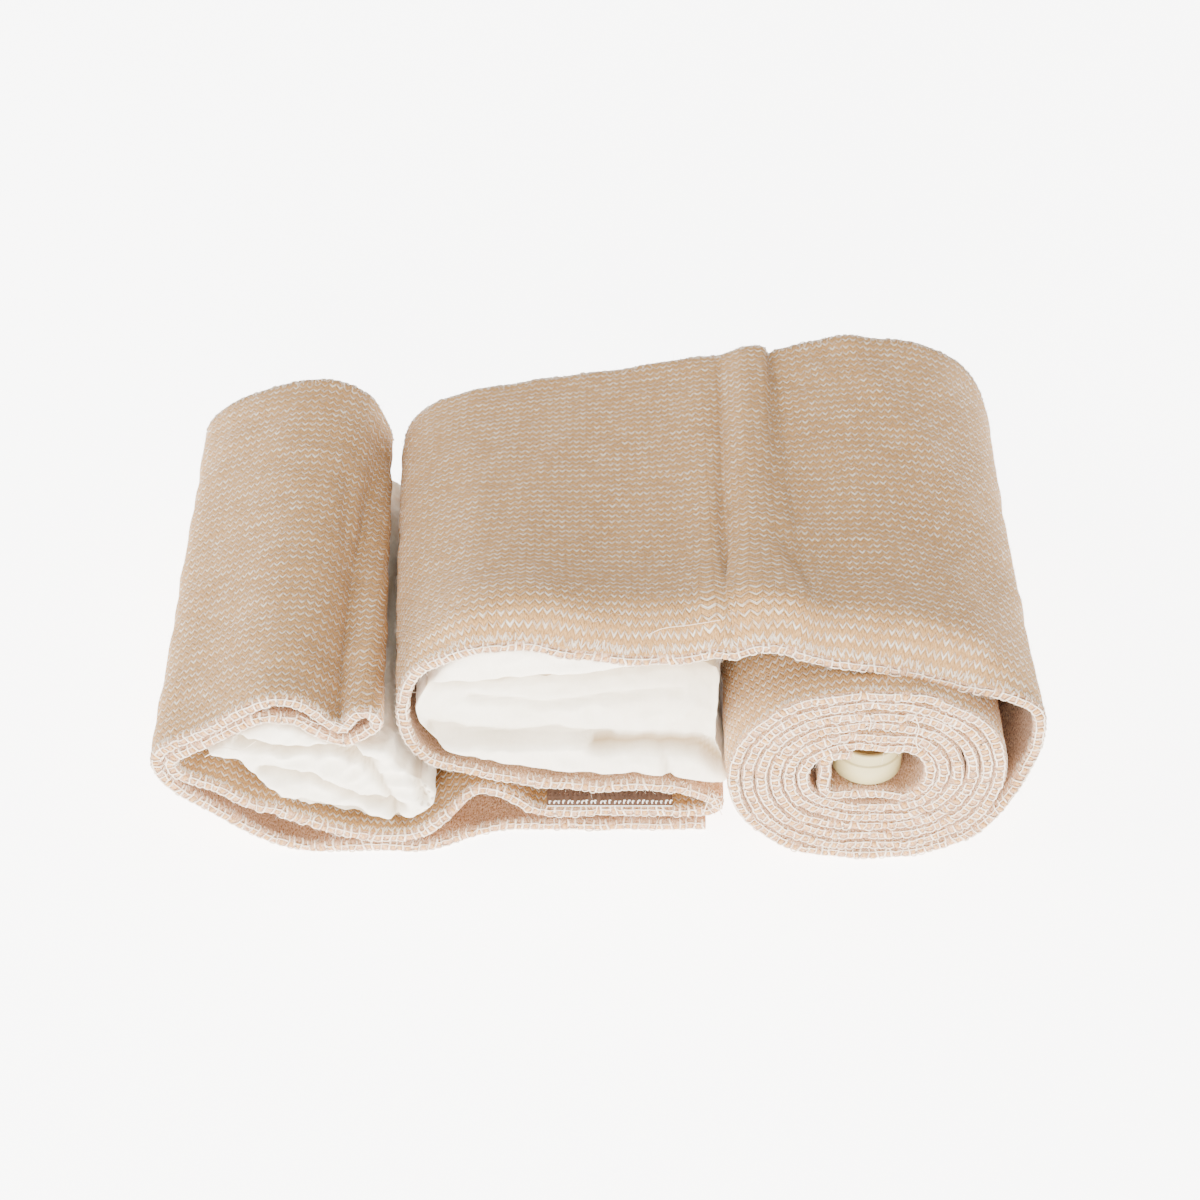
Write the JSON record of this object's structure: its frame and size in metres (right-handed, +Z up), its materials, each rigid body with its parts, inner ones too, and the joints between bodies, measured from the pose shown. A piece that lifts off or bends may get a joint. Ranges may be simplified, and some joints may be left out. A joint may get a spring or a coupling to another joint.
{
  "type": "emergency trauma bandage",
  "caption": "Folded elastic bandage: a tan knit strip folded low at the left and higher in the middle round white wadding pads, then rolled up round a plastic closure bar; hook tape inside.",
  "frame": {"origin": "centre of the underside of the whole bandage as it lies", "axes": "+X runs from the left fold to the roll, -Y faces the viewer and the open edges, +Z is up"},
  "size_m": [0.1656, 0.102, 0.0519],
  "materials": {
    "elastic_knit": "matte fluffy knit, tan ground with white ticks",
    "pad_wadding": "matte off-white wadding",
    "hook_tape": "white woven hook tape",
    "closure_plastic": "smooth satin pale olive beige"
  },
  "bodies": {
    "root": {"elastic_bandage": "elastic_knit", "left_pad": "pad_wadding", "middle_pad": "pad_wadding", "hook_tape": "hook_tape", "closure_bar": "closure_plastic"}
  },
  "joints": []
}
